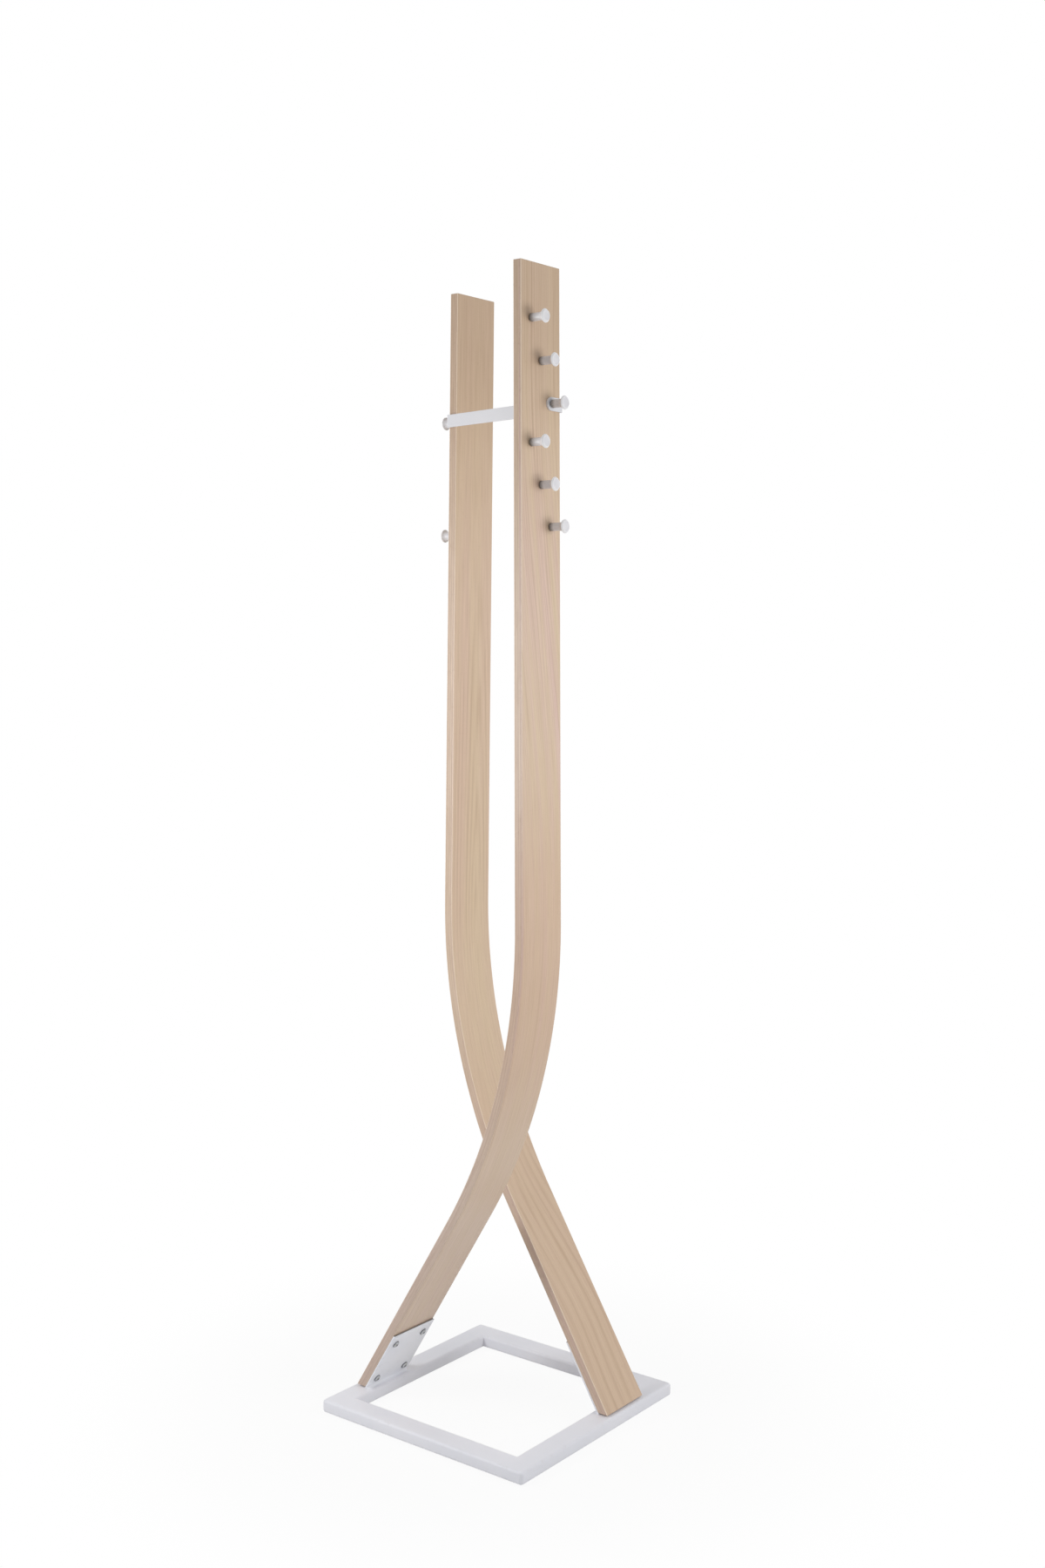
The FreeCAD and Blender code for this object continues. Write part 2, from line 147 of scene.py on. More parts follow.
plywood = {
    "plies": 7,
    "plyShift": (0.0173, 0.61),  # how far the figure moves across and along from one ply to the next
    "skin": (0.0004, 0.0006),  # depth under a face where glue lines start and are full
    "glueBand": (0.1, 0.03),  # the same from a joint, in shares of a ply
    "edgeBand": (0.0002, 0.0012),  # metres from the edge over which the face takes over
    "marks": {  # fineness across and along, detail and roughness of the noise, and its shift
        "wobble": (50, 1.6, 3.0, 0.5, 0.0),
        "strength": (110, 0.9, 2.0, 0.5, 0.0),
        "fineLine": (300, 2.0, 2.0, 0.7, 2.0),
        "edgeLine": (900, 3.0, 2.0, 0.6, 0.0),
        "streak": (30, 0.8, 3.0, 0.6, 4.0),
        "lightLine": (210, 1.7, 2.0, 0.6, 0.0),
        "fibre": (1300, 14, 3.0, 0.6, 0.0),
        "fleck": (900, 130, 1.0, 0.5, 0.0),
    },
    "endGrainScale": 2600.0,
    "weakLine": 0.12,  # what is left of a figure line at its weakest
    "lineDark": 0.55,
    "fleckDark": 0.2,
    "fibreDark": 0.3,
    "glueDark": 0.8,
    "crossPly": (0.86, 0.83, 0.84, 1),
    "glueLine": (0.72, 0.67, 0.65, 1),
    "lightTint": (1.12, 1.12, 1.13, 1),
    "edgeTint": (0.9, 0.9, 0.95, 1),
    "endTint": (0.92, 0.9, 0.91, 1),
    # pale sanded arris, partly a painted highlight along the rounded edge
    "paleArrisAndHighlight": shade(246, 229, 208),
    # metres up the leg where a change starts and is full
    "footSpan": (0.75, 0.3),
    "waistSpan": (0.45, 0.7),
    "waistEnd": (1.15, 0.85),
    "topSpan": (1.3, 1.75),
    "endSpan": (1.55, 1.78),
    "arrisSpan": (0.7, 1.2),
    "pliesSpan": (0.5, 1.2),
    "clearSpan": (0.9, 1.4),
    "warmSpan": (0.4, 1.0),
    "warmEnd": (1.7, 1.3),
    "roughness": 0.34,
    "bumpDepth": 0.00005,
    "bumpStrength": 0.6,
}

straightGrain = {
    "leanSpan": (0.9, 1.7),
    "lean": 0.075,
    "pitch": 0.0058,
    "bold": 0.3,
    "topBold": 0.3,  # added above
    "topSpan": (1.0, 1.4),
}


def straightFigure(u, v):  # lines that lean more and more across the board
    aside = u + v.between(*straightGrain["leanSpan"]) * straightGrain["lean"]
    bold = straightGrain["bold"] + straightGrain["topBold"] * v.between(*straightGrain["topSpan"])
    return aside, aside / straightGrain["pitch"], bold


archedGrain = {
    "swingSpan": (0.13, 0.47),
    "swing": 0.042,
    "footSwingSpan": (0.14, 0.0),
    "footSwing": 0.006,
    "heart": 0.058,  # the rings close round a point this far beside the middle of the board
    "heartHeight": 0.634,
    "slimness": 0.0387,  # width of an arch to its height
    "ringPower": 0.75,
    "rings": 75,
    "fewerAtFoot": 40,
    "fewerSpan": (0.75, 0.25),
    "firstRing": 0.1,
    "bold": 0.18,
    "footBold": 0.42,  # added at the foot
    "footSpan": (0.55, 0.25),
    "middleBold": 0.55,  # added half way up
    "middleSpan": (0.7, 0.95),
    "middleEnd": (1.45, 1.2),
}


def archedFigure(u, v):  # long arches that close upwards, and bold lines that swing over at the foot
    g = archedGrain
    aside = u - v.between(*g["swingSpan"]) * g["swing"] - v.between(*g["footSwingSpan"]) * g["footSwing"]
    fromHeart = aside + g["heart"]
    above = (v - g["heartHeight"]) * g["slimness"]
    ring = (fromHeart * fromHeart + above * above) ** 0.5
    turns = ring ** g["ringPower"] * (g["rings"] - g["fewerAtFoot"] * v.between(*g["fewerSpan"])) + g["firstRing"]
    bold = g["bold"] + g["footBold"] * v.between(*g["footSpan"])
    bold = bold + g["middleBold"] * v.between(*g["middleSpan"]) * v.between(*g["middleEnd"])
    return aside, turns, bold


def plywoodFinish(name, look):
    f = Finish(name)
    board = f.attribute("board", "Vector")  # across, up and through the board, in metres
    across, up, depth = board.parts()
    dark = look["dark"]
    thickness, halfWidth = leg["thickness"], leg["width"] / 2

    # which ply, and where it is glued
    layer = depth / (thickness / plywood["plies"])
    ply = layer.floor()
    cross = ply % 2.0
    gap = layer - ply
    shallow, deep = plywood["skin"]
    inside = depth.between(shallow, deep) * depth.between(thickness - shallow, thickness - deep)
    glue = inside * gap.least(1 - gap).between(*plywood["glueBand"])
    rim, full = plywood["edgeBand"]
    onFace = abs(across).between(halfWidth - rim, halfWidth - full)
    onEdge = 1 - onFace

    # figure and fibre
    u = across + (ply - look["facePly"]) * plywood["plyShift"][0]
    v = up + (ply - look["facePly"]) * plywood["plyShift"][1]
    aside, turns, bold = look["figure"](u, v)

    def mark(kind, over=aside):
        fineAcross, fineAlong, detail, roughness, shift = plywood["marks"][kind]
        return f.noise(f.vector(over * fineAcross, v * fineAlong, ply + shift), 1.0, detail, roughness)

    wobble = (mark("wobble") - 0.5) * look["wobble"]
    line = (0.5 + 0.5 * ((turns + wobble) * (2 * math.pi)).sine()) ** look["lineSharp"]
    weak = plywood["weakLine"]
    line = line * (weak + (1 - weak) * mark("strength").between(0.36, 0.64)) * bold * onFace
    fineLine = onFace * mark("fineLine").between(0.45, 0.7)
    edgeLine = onEdge * mark("edgeLine", depth).between(0.4, 0.7)
    lightLine = mark("lightLine").between(0.5, 0.7)
    streak = mark("streak").between(0.34, 0.66)
    fibre = mark("fibre")
    fleck = mark("fleck").between(0.64, 0.74)
    endGrain = f.noise(board, plywood["endGrainScale"]).between(0.35, 0.7)
    warm = streak * (0.25 + 0.75 * v.between(*plywood["warmSpan"]) * v.between(*plywood["warmEnd"]))
    clear = 0.45 + 0.55 * v.between(*plywood["clearSpan"])  # the lower half shows less figure
    showing = 0.4 + 0.6 * up.between(*plywood["pliesSpan"])  # the plies show less at the foot

    colour = f.mix(warm, look["pale"], look["pink"])
    colour = f.mix(line * plywood["lineDark"], colour, dark)
    colour = f.mix((fineLine * clear + edgeLine) * look["fineLine"], colour, dark)
    colour = f.mix(lightLine * clear * look["lightLine"], colour, plywood["lightTint"], "MULTIPLY")
    colour = f.mix(fleck * plywood["fleckDark"], colour, dark)
    colour = f.mix(fibre.between(0.35, 0.75) * plywood["fibreDark"], colour, dark)
    crossColour = f.mix(0.7 + 0.3 * endGrain, colour, plywood["crossPly"], "MULTIPLY")
    colour = f.mix(cross * showing, colour, crossColour)
    atFoot = up.between(*plywood["footSpan"])
    tints = (
        (glue * showing * plywood["glueDark"], plywood["glueLine"]),
        (onEdge, plywood["edgeTint"]),
        # painted light and shade on the ply edges at the foot
        (onEdge * atFoot, look["edgeFootPaintedShading"]),
        (onFace * up.between(*plywood["endSpan"]), plywood["endTint"]),
        (up.between(*plywood["topSpan"]), look["topTint"]),
        (up.between(*plywood["waistSpan"]) * up.between(*plywood["waistEnd"]), look["waistTint"]),
        (atFoot, look["footTint"]),
    )
    for share, tint in tints:
        colour = f.mix(share, colour, tint, "MULTIPLY")
    arris = f.attribute("arris") * (look["arris"] + (1 - look["arris"]) * up.between(*plywood["arrisSpan"]))
    # pale arris: lighter wood with a painted highlight along the rounded edge
    colour = f.mix(arris * (0.55 + 0.3 * streak), colour, plywood["paleArrisAndHighlight"])
    height = fibre * 0.4 - line * 0.5 - fineLine * 0.2 - fleck * 0.6 - glue
    return f.surface(
        Base_Color=colour,
        Roughness=plywood["roughness"] + fibre * 0.14 + line * 0.06 + cross * 0.08 + onFace * 0.12,
        Normal=f.bump(height, plywood["bumpDepth"], plywood["bumpStrength"]),
        Specular_IOR_Level=0.5,
    )


# coats and metals

whiteCoat = {
    "thin": shade(222, 222, 226),  # worn edges and specks
    "thinWorn": 0.5,
    "thinSpeck": 0.12,
    "paintedGapShade": shade(104, 102, 100),  # painted shade line along the top end of a plate, where it meets the leg
    "gapShadeShare": 0.75,
    "cloudScale": 6.0,
    "wearScale": 90.0,
    "peelScale": 700.0,
    "speckScale": 2600.0,
    "roughness": 0.42,
    "peelDepth": 0.00004,
    "peelStrength": 0.5,
}


def whiteCoatFinish(name, white, cool):
    f = Finish(name)
    place = f.place()
    cloud = f.noise(place, whiteCoat["cloudScale"], 3.0).between(0.35, 0.65)
    peel = f.noise(place, whiteCoat["peelScale"])
    speck = f.noise(place, whiteCoat["speckScale"], 1.0)
    worn = f.attribute("rounded") * f.noise(place, whiteCoat["wearScale"], 4.0, 0.65).between(0.5, 0.72)
    colour = f.mix(cloud, white, cool)
    colour = f.mix(worn * whiteCoat["thinWorn"], colour, whiteCoat["thin"])
    colour = f.mix(speck.between(0.62, 0.75) * whiteCoat["thinSpeck"], colour, whiteCoat["thin"])
    # painted shade along the top end of each plate
    colour = f.mix(f.attribute("topShadeLine") * whiteCoat["gapShadeShare"], colour, whiteCoat["paintedGapShade"])
    return f.surface(
        Base_Color=colour,
        Roughness=whiteCoat["roughness"] + (peel - 0.5) * 0.18 + cloud * 0.05,
        Normal=f.bump(peel + speck * 0.25, whiteCoat["peelDepth"], whiteCoat["peelStrength"]),
        Specular_IOR_Level=0.45,
    )


pegCoat = {
    "white": shade(230, 229, 232),
    "shadeOfWhite": shade(222, 221, 225),
    # painted highlight round the rim of each peg head
    "paintedRimHighlight": shade(249, 249, 250),
    "rimHighlightShare": 0.8,
    "grey": shade(96, 88, 82),  # painted shade on the shaft next to the leg, where the leg shades it
    "paintedShadeShare": 0.88,
    "paintedShadeReach": (0.015, 0.005),  # metres along the peg where it starts and where it is full
    "cloudScale": 60.0,
    "rimHighlightScale": 260.0,
    "fineScale": 1600.0,
    "latheScale": 2600.0,  # rings per metre
    "roughness": 0.34,
    "bumpDepth": 0.00002,
    "bumpStrength": 0.5,
}


def pegCoatFinish(name):
    f = Finish(name)
    place = f.place()
    turned = f.attribute("turned")  # metres along the peg
    rings = (turned * pegCoat["latheScale"] * 2 * math.pi).sine()
    cloud = f.noise(place, pegCoat["cloudScale"], 3.0).between(0.35, 0.65)
    fine = f.noise(place, pegCoat["fineScale"])
    # painted highlight on the rim, in patches
    rimHighlight = f.attribute("rounded") * (0.6 + 0.4 * f.noise(place, pegCoat["rimHighlightScale"], 3.0).between(0.4, 0.7))
    colour = f.mix(cloud, pegCoat["white"], pegCoat["shadeOfWhite"])
    colour = f.mix(rimHighlight * pegCoat["rimHighlightShare"], colour, pegCoat["paintedRimHighlight"])
    # painted shade: the shaft darkens towards the leg
    colour = f.mix(turned.between(*pegCoat["paintedShadeReach"]) * pegCoat["paintedShadeShare"], colour, pegCoat["grey"])
    return f.surface(
        Base_Color=colour,
        Roughness=pegCoat["roughness"] + (fine - 0.5) * 0.16 + cloud * 0.04,
        Normal=f.bump(rings * 0.12 + fine * 0.5, pegCoat["bumpDepth"], pegCoat["bumpStrength"]),
        Specular_IOR_Level=0.5,
    )


zincPlate = {
    "bright": shade(188, 190, 194),
    "dull": shade(128, 130, 136),
    "warm": shade(178, 177, 172),
    "rim": shade(58, 60, 66),  # painted shade round the rim of the head and in the socket
    "patchScale": 190.0,
    "roughness": 0.24,
    "bumpDepth": 0.00002,
    "bumpStrength": 0.4,
}


def zincFinish(name, brushScale):
    f = Finish(name)
    place = f.place()
    fine = f.noise(place, brushScale, 3.0, 0.6)
    patch = f.noise(place, zincPlate["patchScale"]).between(0.4, 0.68)
    colour = f.mix(patch, zincPlate["bright"], zincPlate["warm"])
    colour = f.mix(fine.between(0.5, 0.8) * 0.6, colour, zincPlate["dull"])
    # painted shade round screw heads and in their sockets
    colour = f.mix(f.attribute("rounded") * (0.75 + 0.25 * patch), colour, zincPlate["rim"])
    return f.surface(
        Base_Color=colour,
        Metallic=1.0,
        Roughness=zincPlate["roughness"] + fine * 0.16 + patch * 0.06,
        Normal=f.bump(fine, zincPlate["bumpDepth"], zincPlate["bumpStrength"]),
    )


padRubber = {
    "grey": shade(150, 150, 152),
    "scuffed": shade(176, 176, 178),
    "pitted": shade(128, 128, 130),
    "scuffScale": 220.0,
    "gritScale": 1900.0,
    "roughness": 0.68,
    "bumpDepth": 0.00008,
    "bumpStrength": 0.7,
}


def padFinish(name):
    f = Finish(name)
    place = f.place()
    grit = f.noise(place, padRubber["gritScale"], 3.0, 0.6)
    scuff = f.noise(place, padRubber["scuffScale"], 3.0).between(0.5, 0.75)
    colour = f.mix(scuff * 0.5, padRubber["grey"], padRubber["scuffed"])
    colour = f.mix(grit.between(0.45, 0.8) * 0.4, colour, padRubber["pitted"])
    return f.surface(
        Base_Color=colour,
        Roughness=padRubber["roughness"] + (grit - 0.5) * 0.2,
        Normal=f.bump(grit, padRubber["bumpDepth"], padRubber["bumpStrength"]),
    )


brass = {
    "fresh": shade(214, 178, 106),
    "tarnished": shade(168, 132, 74),
    "tarnishScale": 140.0,
    "turnedScale": 900.0,
    "roughness": 0.3,
    "bumpDepth": 0.00005,
    "bumpStrength": 0.6,
}


def brassFinish(name):
    f = Finish(name)
    place = f.place()
    turned = f.noise(place, brass["turnedScale"], 3.0)
    tarnish = f.noise(place, brass["tarnishScale"], 3.0).between(0.4, 0.7)
    return f.surface(
        Base_Color=f.mix(tarnish, brass["fresh"], brass["tarnished"]),
        Metallic=1.0,
        Roughness=brass["roughness"] + turned * 0.2 + tarnish * 0.1,
        Normal=f.bump(turned, brass["bumpDepth"], brass["bumpStrength"]),
    )


# mesh helpers

meshing = {
    "weld": 1e-7,
    "least": 1e-8,
    "sharpAngle": 32,
}


def meshPiece(name, points, faces, marks):
    mesh = bpy.data.meshes.new(name)
    mesh.from_pydata([tuple(point) for point in points], [], faces)
    for mark, values in marks.items():
        kind = "FLOAT_VECTOR" if isinstance(values[0], tuple) else "FLOAT"
        layer = mesh.attributes.new(mark, kind, "POINT")
        for item, value in zip(layer.data, values):
            if kind == "FLOAT_VECTOR":
                item.vector = value
            else:
                item.value = value
    work = bmesh.new()
    work.from_mesh(mesh)
    bmesh.ops.remove_doubles(work, verts=work.verts, dist=meshing["weld"])
    bmesh.ops.dissolve_degenerate(work, edges=work.edges, dist=meshing["least"])
    bmesh.ops.recalc_face_normals(work, faces=work.faces)
    work.to_mesh(mesh)
    work.free()
    mesh.shade_smooth()
    mesh.set_sharp_from_angle(angle=math.radians(meshing["sharpAngle"]))
    piece = bpy.data.objects.new(name, mesh)
    bpy.context.scene.collection.objects.link(piece)
    return piece


def dress(piece, finish, slot, *nodes):
    piece.data.materials.append(finish)
    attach(piece, "root")
    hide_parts(*nodes)


def tube(rings, count):  # faces between so many rings of count points, with a flat face at each end
    faces = []
    for i in range(rings - 1):
        for j in range(count):
            k = (j + 1) % count
            faces.append((i * count + j, i * count + k, (i + 1) * count + k, (i + 1) * count + j))
    last = (rings - 1) * count
    faces.append(tuple(reversed(range(count))))
    faces.append(tuple(range(last, last + count)))
    return faces


def roundedSection(width, height, radius, steps, sideSteps):  # (x, y, 1 half way round a corner and 0 off it)
    section = []
    corners = ((1, 1, 0), (-1, 1, 90), (-1, -1, 180), (1, -1, 270))
    for index, (signX, signY, start) in enumerate(corners):
        centreX = signX * (width / 2 - radius)
        centreY = signY * (height / 2 - radius)
        for k in range(steps + 1):
            angle = math.radians(start + 90 * k / steps)
            turn = math.sin(math.pi * k / steps) if 0 < k < steps else 0.0
            section.append((centreX + radius * math.cos(angle), centreY + radius * math.sin(angle), turn))
        nextX, nextY, nextStart = corners[(index + 1) % 4]
        angle = math.radians(nextStart)
        fromX, fromY, _ = section[-1]
        toX = nextX * (width / 2 - radius) + radius * math.cos(angle)
        toY = nextY * (height / 2 - radius) + radius * math.sin(angle)
        sides = sideSteps[index % 2]
        for k in range(1, sides):
            section.append((fromX + (toX - fromX) * k / sides, fromY + (toY - fromY) * k / sides, 0.0))
    return section


# the bent legs

leg = {
    "height": 1.802,
    "width": 0.098,
    "thickness": 0.015,
    "apart": 0.055,  # clear gap between the legs
    "barTop": 0.0215,
    "footReach": 0.1855,
    "footGap": 0.0025,
    "footLean": math.radians(32),
    "footStraight": 0.3485,
    "bendRadius": 0.88,
    "topLean": math.radians(0.45),
    "arris": 0.001,
    "arrisSteps": 4,
    "sideSteps": (10, 6),
    "endSoftening": 0.0005,
    "straightStep": 0.03,
    "bendStep": 0.008,
    "skin": 0.00002,  # keeps the faces inside the outer plies
}
bendEnd = leg["footStraight"] + leg["bendRadius"] * (leg["footLean"] + leg["topLean"])
front, rear = 1, -1
legSides = (("front", front), ("rear", rear))


def legLine(s):  # middle of the board at s along it from the top of the bar, and its lean there
    foot = Vector((-leg["footReach"], leg["barTop"]))
    lean = leg["footLean"]
    if s <= leg["footStraight"]:
        return foot + Vector((math.sin(lean), math.cos(lean))) * s, lean
    start = foot + Vector((math.sin(lean), math.cos(lean))) * leg["footStraight"]
    centre = start - Vector((math.cos(lean), -math.sin(lean))) * leg["bendRadius"]
    lean = max(leg["footLean"] - (s - leg["footStraight"]) / leg["bendRadius"], -leg["topLean"])
    point = centre + Vector((math.cos(lean), -math.sin(lean))) * leg["bendRadius"]
    if s > bendEnd:
        point += Vector((math.sin(lean), math.cos(lean))) * (s - bendEnd)
    return point, lean


def legPoint(side, s, across, out):  # out is towards the outer face, from the middle of the board
    point, lean = legLine(s)
    x = point.x + out * math.cos(lean)
    z = point.y - out * math.sin(lean)
    y = across - leg["apart"] / 2 - leg["width"] / 2
    return Vector((side * x, side * y, z))


def footCut(out):  # s of the level cut at the foot
    return (leg["footGap"] + out * math.sin(leg["footLean"])) / math.cos(leg["footLean"])


def topCut(out):  # s of the level cut at the top
    middle, _ = legLine(bendEnd)
    return bendEnd + (leg["height"] - middle.y - out * math.sin(leg["topLean"])) / math.cos(leg["topLean"])


def legFrame(side, s, across, out):  # axes along the leg, across it and out of its outer face
    _, lean = legLine(s)
    outward = Vector((side * math.cos(lean), 0, -math.sin(lean)))
    upward = Vector((side * math.sin(lean), 0, math.cos(lean)))
    axes = Matrix((upward, outward.cross(upward), outward)).transposed().to_4x4()
    axes.translation = legPoint(side, s, across, out)
    return axes


def legStations():  # close together in the bend only
    step, bendStart = leg["straightStep"], leg["footStraight"]
    stations = []
    s = step
    while s < bendStart:
        stations.append(s)
        s += step
    bendCount = math.ceil((bendEnd - bendStart) / leg["bendStep"])
    for k in range(bendCount + 1):
        stations.append(bendStart + (bendEnd - bendStart) * k / bendCount)
    s = bendEnd + step
    while s < topCut(0) - step:
        stations.append(s)
        s += step
    return stations


def makeLeg(name, side, finish, node):
    full = roundedSection(leg["width"], leg["thickness"], leg["arris"], leg["arrisSteps"], leg["sideSteps"])
    soft = leg["endSoftening"]
    narrow, thin = 1 - 2 * soft / leg["width"], 1 - 2 * soft / leg["thickness"]
    shrunk = [(across * narrow, out * thin, turn) for across, out, turn in full]
    rings = [(shrunk, footCut), (full, lambda out: footCut(out) + soft)]
    rings += [(full, lambda out, s=s: s) for s in legStations()]
    rings += [(full, lambda out: topCut(out) - soft), (shrunk, topCut)]
    points, board, arris = [], [], []
    for section, station in rings:
        for across, out, turn in section:
            s = station(out)
            depth = out + leg["thickness"] / 2
            points.append(legPoint(side, s, across, out))
            board.append((across, s, min(max(depth, leg["skin"]), leg["thickness"] - leg["skin"])))
            arris.append(1.0 if turn else 0.0)
    piece = meshPiece(name, points, tube(len(rings), len(full)), {"board": board, "arris": arris})
    dress(piece, finish, "bent_plywood", node)


frontBoard = {
    "pale": shade(220, 198, 169),
    "pink": shade(223, 195, 182),
    "dark": shade(179, 147, 120),
    "figure": straightFigure,
    "facePly": plywood["plies"] - 1,  # the ply that the photo's side shows
    "wobble": 4.0,
    "lineSharp": 2.4,
    "fineLine": 0.24,
    "lightLine": 0.32,
    "topTint": (0.93, 0.91, 0.87, 1),
    "waistTint": (0.95, 0.9, 0.9, 1),
    "footTint": (1.02, 1.04, 1.14, 1),
    "edgeFootPaintedShading": (0.96, 0.96, 0.96, 1),
    "arris": 0.15,  # how far the pale arris, partly a painted highlight, shows at the foot
}
rearBoard = {
    "pale": shade(223, 200, 172),
    "pink": shade(223, 196, 175),
    "dark": shade(176, 145, 115),
    "figure": archedFigure,
    "facePly": 0,
    "wobble": 0.9,
    "lineSharp": 1.8,
    "fineLine": 0.15,
    "lightLine": 0.2,
    "topTint": (0.91, 0.88, 0.84, 1),
    "waistTint": (1.01, 1.02, 1.01, 1),
    "footTint": (0.955, 0.92, 0.92, 1),
    # painted light on the edge at the foot
    "edgeFootPaintedShading": (1.04, 1.06, 1.1, 1),
    "arris": 1.0,
}
makeLeg("frontLeg", front, plywoodFinish("plywoodFront", frontBoard), "front_leg")
makeLeg("rearLeg", rear, plywoodFinish("plywoodRear", rearBoard), "rear_leg")
print("legs bent")


# square base of tube

bar = {
    "side": 0.4,
    "width": 0.04,
    "height": 0.02,
    "lift": 0.0015,
    "edge": 0.005,
    "edgeSteps": 8,
    "sideSteps": (2, 2),
    "corner": 0.006,
    "cornerSteps": 7,
    "white": shade(238, 238, 244),
    "cool": shade(233, 234, 241),
}


def makeBar(name, quarterTurns, finish, node):
    half = bar["side"] / 2
    section = roundedSection(bar["width"], bar["height"], bar["edge"], bar["edgeSteps"], bar["sideSteps"])
    inset = [(x + bar["width"] / 2, y + bar["height"] / 2, turn) for x, y, turn in section]
    turnBar = Matrix.Rotation(math.radians(90 * quarterTurns), 3, "Z")
    angles = [math.radians(45 - 45 * k / bar["cornerSteps"]) for k in range(bar["cornerSteps"] + 1)]
    stations = [(-1, angle) for angle in angles] + [(1, angle) for angle in reversed(angles)]
    points, rounded = [], []
    for hand, angle in stations:
        for w, z, turn in inset:
            past = bar["corner"] - w  # above 0 only in the rounded corner of the square
            x = half - bar["corner"] + (past * math.sin(angle) if past > 0 else past)
            y = -half + bar["corner"] - (past * math.cos(angle) if past > 0 else past)
            points.append(turnBar @ Vector((hand * x, y, bar["lift"] + z)))
            rounded.append(turn)
    piece = meshPiece(name, points, tube(len(stations), len(inset)), {"rounded": rounded})
    dress(piece, finish, "white_powder_coat", node)


baseCoat = whiteCoatFinish("baseCoat", bar["white"], bar["cool"])
for quarterTurns, barName in enumerate(("front", "right", "back", "left")):
    makeBar(f"{barName}Bar", quarterTurns, baseCoat, f"base_bar_{barName}")
print("base made")


# turned pieces: pegs, screws and floor pads

def lathe(name, axes, profile, marks, segments):  # profile of (radius or radius at an angle, height)
    points = []
    values = {mark: [] for mark in marks}
    for index, (radius, height) in enumerate(profile):
        for k in range(segments):
            angle = 2 * math.pi * k / segments
            reach = radius(angle) if callable(radius) else radius
            points.append(axes @ Vector((reach * math.cos(angle), reach * math.sin(angle), height)))
            for mark in marks:
                values[mark].append(marks[mark][index])
    return meshPiece(name, points, tube(len(profile), segments), values)


def corner(radius, height, startAngle, endAngle, size, steps=4):  # an arc of a profile
    arc = []
    for k in range(steps + 1):
        angle = math.radians(startAngle + (endAngle - startAngle) * k / steps)
        arc.append((radius + size * math.cos(angle), height + size * math.sin(angle)))
    return arc


def walked(profile):  # metres from its start to each point of a profile
    lengths = [0.0]
    for (r0, h0), (r1, h1) in zip(profile, profile[1:]):
        lengths.append(lengths[-1] + math.hypot(r1 - r0, h1 - h0))
    return lengths


peg = {
    "count": 6,
    "shaft": 0.0065,
    "head": 0.01075,
    "length": 0.0295,
    "rim": 0.0028,
    "rimAngle": -80,  # where the flare meets the softened rim
    "bevel": 0.002,
    "bevelSlope": 45,
    "flare": 0.0077,
    "flareSteps": 10,
    "shaftSteps": 4,
    "firstDrop": 0.086,
    "pitch": 0.063,
    "places": 3,  # across the leg
    "stagger": 0.0245,
    "core": 0.002,
    "neck": (0.0038, 0.0015),  # radius and height of the thin neck that leaves a dark line at the leg
    "seatSoftening": 0.0004,
    "rimSoftening": 0.0005,
    "dish": 0.0004,
    "dishShape": ((1.0, 0.0), (0.94, 0.7), (0.8, 1.0), (0.4, 1.0), (0.05, 1.0)),  # shares of radius and depth
    "highlightDepth": 0.0026,
    "highlightRadius": 0.008,
    "segments": 64,
    "onStrap": 2,  # counted from the top, from 0
    "strapLift": 0.0032,
}


def pegDrop(index):
    return peg["firstDrop"] + index * peg["pitch"]


def pegAcross(index):
    return (index % peg["places"] - 1) * peg["stagger"]


def pegProfile(length):
    shaft, head, soft = peg["shaft"], peg["head"], peg["rimSoftening"]
    flareStart = length - peg["rim"] - peg["flare"]
    wide = head - shaft
    sweep = (wide ** 2 + peg["flare"] ** 2) / (2 * wide)
    endAngle = 180 - math.degrees(math.acos((sweep - wide) / sweep))
    neck, neckHeight = peg["neck"]
    seat = peg["seatSoftening"]
    profile = [(peg["core"], 0.0), (neck, 0.0), (neck, neckHeight)]
    profile += corner(shaft - seat, neckHeight + seat, -90, 0, seat)
    profile += [(shaft, flareStart * k / peg["shaftSteps"]) for k in range(1, peg["shaftSteps"])]
    profile += corner(shaft + sweep, flareStart, 180, endAngle, sweep, peg["flareSteps"])[:-1]
    profile += corner(head - soft, length - peg["rim"] + soft, peg["rimAngle"], 0, soft)
    slope = peg["bevelSlope"]
    edge = soft * math.tan(math.radians(slope / 2))
    profile += corner(head - soft, length - peg["bevel"] - edge, 0, slope, soft)
    profile += corner(head - peg["bevel"] - edge, length - soft, slope, 90, soft)
    inner = head - peg["bevel"] - 3 * soft
    profile += [(inner * share, length - peg["dish"] * depth) for share, depth in peg["dishShape"]]
    return profile


def makePeg(name, side, index, finish, node):
    lift = peg["strapLift"] if index == peg["onStrap"] else 0.0
    out = leg["thickness"] / 2
    axes = legFrame(side, topCut(out) - pegDrop(index), pegAcross(index), out + lift)
    profile = pegProfile(peg["length"] - lift)
    # the rim at the head's face carries the painted highlight
    highlightFrom = profile[-1][1] - peg["highlightDepth"]
    rounded = [1.0 if height > highlightFrom and radius > peg["highlightRadius"] else 0.0 for radius, height in profile]
    piece = lathe(name, axes, profile, {"turned": walked(profile), "rounded": rounded}, peg["segments"])
    dress(piece, finish, "white_lacquer", node)


coatOfPegs = pegCoatFinish("coatOfPegs")
for sideName, side in legSides:
    for index in range(peg["count"]):
        makePeg(f"{sideName}Peg{index + 1}", side, index, coatOfPegs, f"{sideName}_peg_{index + 1}")
print("pegs turned")


# mounting plates, welded to the bars, and their screws

